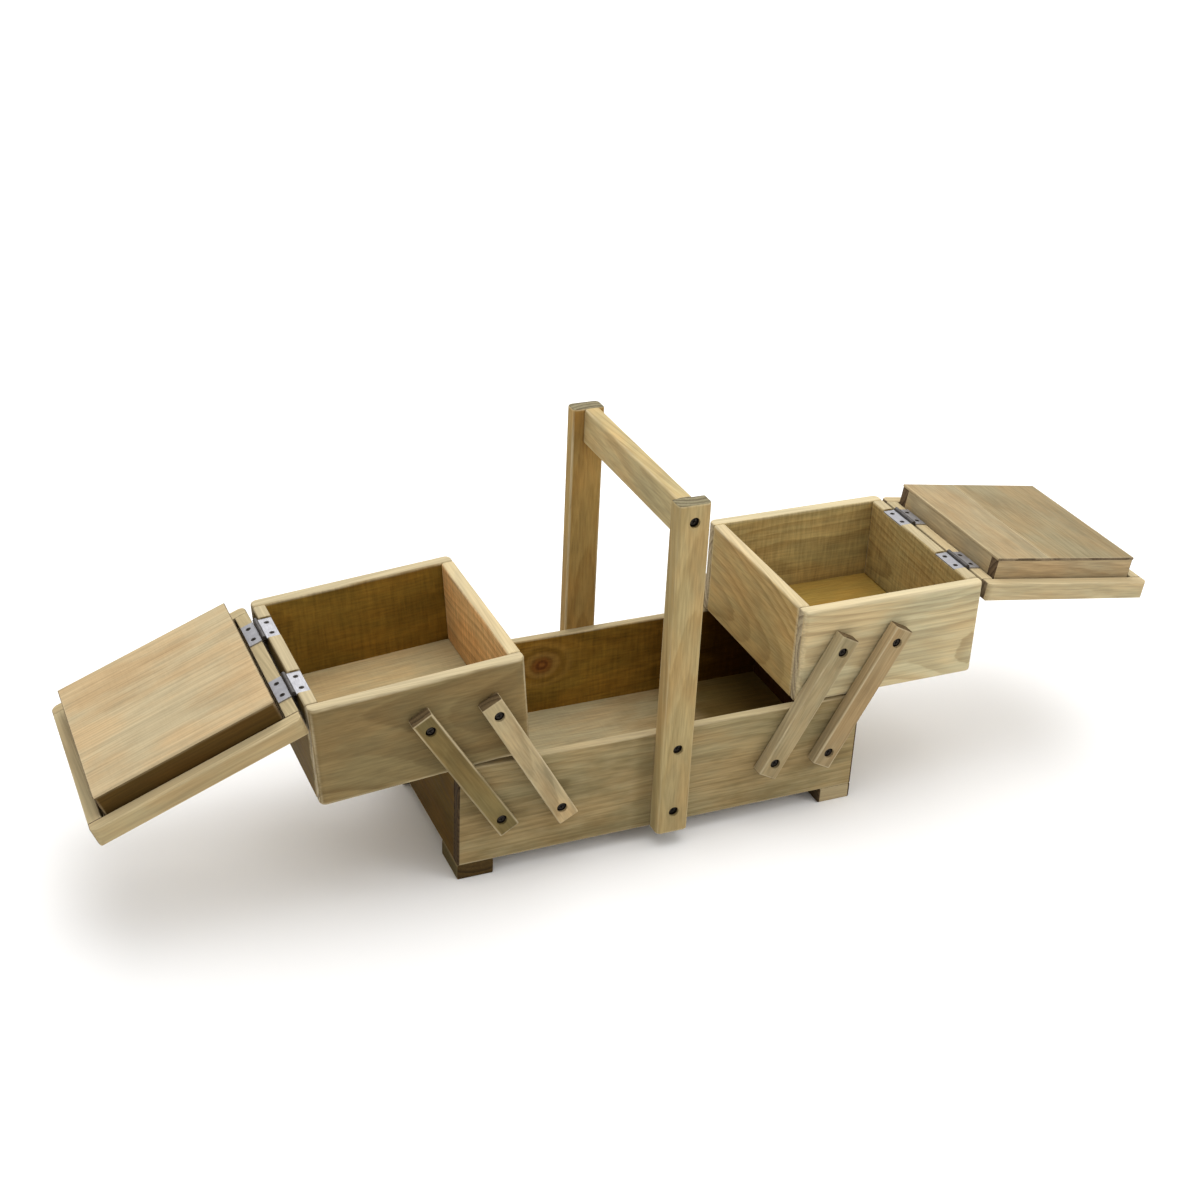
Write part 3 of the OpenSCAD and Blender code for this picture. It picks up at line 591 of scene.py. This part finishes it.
# Trays
# Thicker pine boards, butted like the box, with rounded upright corners and a
# plywood floor in a groove. The left tray hangs tilted, by so many degrees.
tray_ease = 0.0018
tray_pine = pine("tray pine", light=(0.46, 0.37, 0.205, 1), dark=(0.27, 0.195, 0.095, 1),
                 end=(0.44, 0.365, 0.235, 1), edge=(0.58, 0.49, 0.31, 1), ring_width=0.005,
                 wander=0.045, ringiness=0.55, patchiness=0.35, ease=tray_ease, rim=0.7)
tilt = {"left": -5.0, "right": 0.0}
for side, outward in (("left", "-x"), ("right", "+x")):
    inward = "+x" if outward == "-x" else "-x"
    tray = side + "_tray"
    left = side == "left"
    # The tray tones and inside colours carry painted light and shade: the left tray's outside is
    # painted darker and the right's lighter, the walls' and ends' insides are painted to their light
    # and shade, and the left inner end's inside is painted bright as light falling from the left.
    shade = (0.52, 0.47, 0.36) if left else (1.22, 1.26, 1.28)
    wall_inside_shade = (0.57, 0.41, 0.11) if left else (1.06, 1.0, 0.7)
    warm = (1.82, 1.38, 1.0) if left else (0.6, 0.5, 0.35)
    far = (0.4, 0.36, 0.26) if left else (0.98, 0.92, 0.66)
    board(tray + "_front", tray, tray_pine, "pine", "x", "+y", turn=tilt[side],
          ease=tray_ease, tone=shade, lining=wall_inside_shade)
    board(tray + "_back", tray, tray_pine, "pine", "x", "-y", turn=tilt[side],
          ease=tray_ease, tone=shade, lining=wall_inside_shade)
    board(tray + "_inner_end", tray, tray_pine, "pine", "y", outward, turn=tilt[side],
          ease=tray_ease, tone=(1.15, 1.02, 0.74), lining=warm)
    board(tray + "_outer_end", tray, tray_pine, "pine", "y", inward, turn=tilt[side],
          ease=tray_ease, tone=(0.34, 0.29, 0.18), lining=far)
    board(tray + "_floor", tray, floor_ply, "ply", "x", "+z", turn=tilt[side], ease=0,
          lining=(1.04, 1.0, 0.9) if left else (0.74, 0.58, 0.22))

# Lid hinges
# Small plated steel butt hinges, two on each tray: one leaf is let into a notch in
# the tray's edge and the other is screwed to the lid's rim.


def hinge_plate(side):
    """Plated steel, painted almost black around the pin as shade in the gap between the leaves."""
    plate = bpy.data.materials.new(side + " hinge plate")
    plate.use_nodes = True
    tree = plate.node_tree
    steel = tree.nodes["Principled BSDF"]
    where = add_node(tree, "TexCoord").outputs["Object"]
    cloud = mottle(tree, where, (220, 220, 220), 3.0)
    scratch = mottle(tree, where, (2600, 160, 2600), 2.0)
    low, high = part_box(side + "_hinge_pins")
    pin = ((low[0] + high[0]) / 2, 0, (low[2] + high[2]) / 2)
    from_pin = reckon_vector(tree, "MULTIPLY", reckon_vector(tree, "SUBTRACT", where, pin), (1, 0, 1))
    # Painted shade: near the pin axis the plate turns almost black.
    pin_gap_shade = fade(tree, reckon_vector(tree, "LENGTH", from_pin), 0.0024, 0.0017, 0.0, 0.85)
    clean = colour_mix(tree, cloud.outputs[0], (0.27, 0.27, 0.29, 1), (0.43, 0.43, 0.45, 1))
    give(tree, steel.inputs["Base Color"], colour_mix(tree, pin_gap_shade, clean, (0.035, 0.028, 0.02, 1)))
    give(tree, steel.inputs["Roughness"], fade(tree, scratch.outputs[0], 0.3, 0.7, 0.38, 0.6))
    steel.inputs["Metallic"].default_value = 0.8
    bump = add_node(tree, "Bump")
    bump.inputs["Strength"].default_value = 0.2
    bump.inputs["Distance"].default_value = 0.0001
    give(tree, bump.inputs["Height"], scratch.outputs[0])
    give(tree, steel.inputs["Normal"], bump.outputs[0])
    return plate


for side in ("left", "right"):
    plate = hinge_plate(side)
    for node in ("_tray_hinge_leaves", "_lid_hinge_leaves", "_hinge_pins"):
        fitting(side + node, plate)
    for node in ("_tray_hinge_screws", "_lid_hinge_screws"):
        fitting(side + node, screw_steel)

# Lids
# A rim of the trays' pine round a top panel, with a raised liner inside it that
# drops into the tray: four strips under a thin board. The right board is two
# planks glued edge to edge. Each lid is turned so many degrees from shut.
lid_pine = pine("lid pine", light=(0.48, 0.385, 0.215, 1), dark=(0.33, 0.25, 0.125, 1),
                end=(0.2, 0.15, 0.09, 1), edge=(0.55, 0.45, 0.27, 1), ring_width=0.005,
                patchiness=0.2)
liner_pine = pine("liner pine", light=(0.36, 0.27, 0.135, 1), dark=(0.25, 0.175, 0.08, 1),
                  end=(0.12, 0.08, 0.045, 1), edge=(0.40, 0.31, 0.17, 1), ring_width=0.004, rim=0.0)
liner_face = pine("liner board pine", light=(0.46, 0.365, 0.215, 1), dark=(0.36, 0.27, 0.145, 1),
                  end=(0.2, 0.15, 0.09, 1), edge=(0.46, 0.37, 0.22, 1), ring_width=0.011,
                  wander=0.05, ringiness=0.12, streakiness=0.15, patchiness=0.45, rim=0.0, sawn=0.1,
                  patch_colour=(0.28, 0.20, 0.105, 1))
turned = {"left": -202.4, "right": 188.7}
strip = 0.008
liner_ease = 0.0004
far_plank_share = 0.625
half_glue_line = 0.0001


def liner_piece(node, key, low, high, turn, along, inward, finish, slot, **looks):
    """One strip or plank of the raised liner, cut to size shut and turned with its lid."""
    bpy.ops.object.select_all(action="DESELECT")
    size = [h - l for l, h in zip(low, high)]
    middle = [(h + l) / 2 for l, h in zip(low, high)]
    bpy.ops.mesh.primitive_cube_add(size=1.0, location=middle, scale=size)
    piece = bpy.context.object
    piece.name = node + "_" + key
    bpy.ops.object.transform_apply()
    round_over = piece.modifiers.new("round over", "BEVEL")
    round_over.width = liner_ease
    round_over.segments = 2
    bpy.ops.object.modifier_apply(modifier=round_over.name)
    piece.data.transform(mathutils.Matrix.Rotation(math.radians(turn), 4, "Y"))
    lay_grain(piece, turn, along, inward, piece.name, **looks)
    bpy.ops.object.shade_smooth_by_angle(angle=math.radians(40))
    piece.data.materials.append(finish)
    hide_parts(node)
    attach(piece, node[:node.index("_liner")])


def shut_box(node, turn):
    """The lowest and highest corners of a lid's piece, turned back to its shut place."""
    back = mathutils.Matrix.Rotation(math.radians(-turn), 3, "Y")
    shut = [back @ v.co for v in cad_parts[node].data.vertices]
    return [[pick(p[i] for p in shut) for i in range(3)] for pick in (min, max)]


for side, outward in (("left", "-x"), ("right", "+x")):
    inward = "+x" if outward == "-x" else "-x"
    lid = side + "_lid"
    turn = turned[side]
    rim_tone = (0.88, 0.85, 0.78) if side == "left" else (1, 1, 1)
    board(lid + "_panel", lid, lid_pine, "pine", "y", "-z", turn=turn, ease=0)
    for rim, along, faces_in in (
        ("front", "x", "+y"),
        ("back", "x", "-y"),
        ("hinge", "y", inward),
        ("far", "y", outward),
    ):
        board(lid + "_" + rim + "_rim", lid, lid_pine, "pine", along, faces_in, turn=turn,
              ease=0.0008, tone=rim_tone)
    liner = lid + "_liner_frame"
    # The left liner's strips are painted dark as the shade on their sides.
    liner_tone_and_shade = (0.24, 0.17, 0.07) if side == "left" else (1.12, 1.13, 1.22)
    (x0, y0, z0), (x1, y1, z1) = shut_box(liner, turn)
    for key, low, high, along, faces_in in (
        ("front", (x0, y0), (x1, y0 + strip), "x", "+y"),
        ("back", (x0, y1 - strip), (x1, y1), "x", "-y"),
        ("low_x", (x0, y0 + strip), (x0 + strip, y1 - strip), "y", "+x"),
        ("high_x", (x1 - strip, y0 + strip), (x1, y1 - strip), "y", "-x"),
    ):
        liner_piece(liner, key, (*low, z0), (*high, z1), turn, along, faces_in, liner_pine,
                    "pine_dark", tone=liner_tone_and_shade)
board("left_lid_liner_board", "left_lid", liner_face, "pine_light", "x", "-z", turn=turned["left"],
      ease=0.0005, lining=(1.08, 1.06, 1.03))
planks = "right_lid_liner_board"
(x0, y0, z0), (x1, y1, z1) = shut_box(planks, turned["right"])
joint = x0 + far_plank_share * (x1 - x0)
liner_piece(planks, "hinge_plank", (joint + half_glue_line, y0, z0), (x1, y1, z1),
            turned["right"], "y", "-z", liner_face, "pine_light", tone=(0.8, 0.78, 0.74),
            lining=(0.78, 0.78, 0.75))
liner_piece(planks, "far_plank", (x0, y0, z0), (joint - half_glue_line, y1, z1),
            turned["right"], "y", "-z", liner_face, "pine_light", tone=(0.7, 0.67, 0.62),
            lining=(0.64, 0.64, 0.59))

low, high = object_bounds()
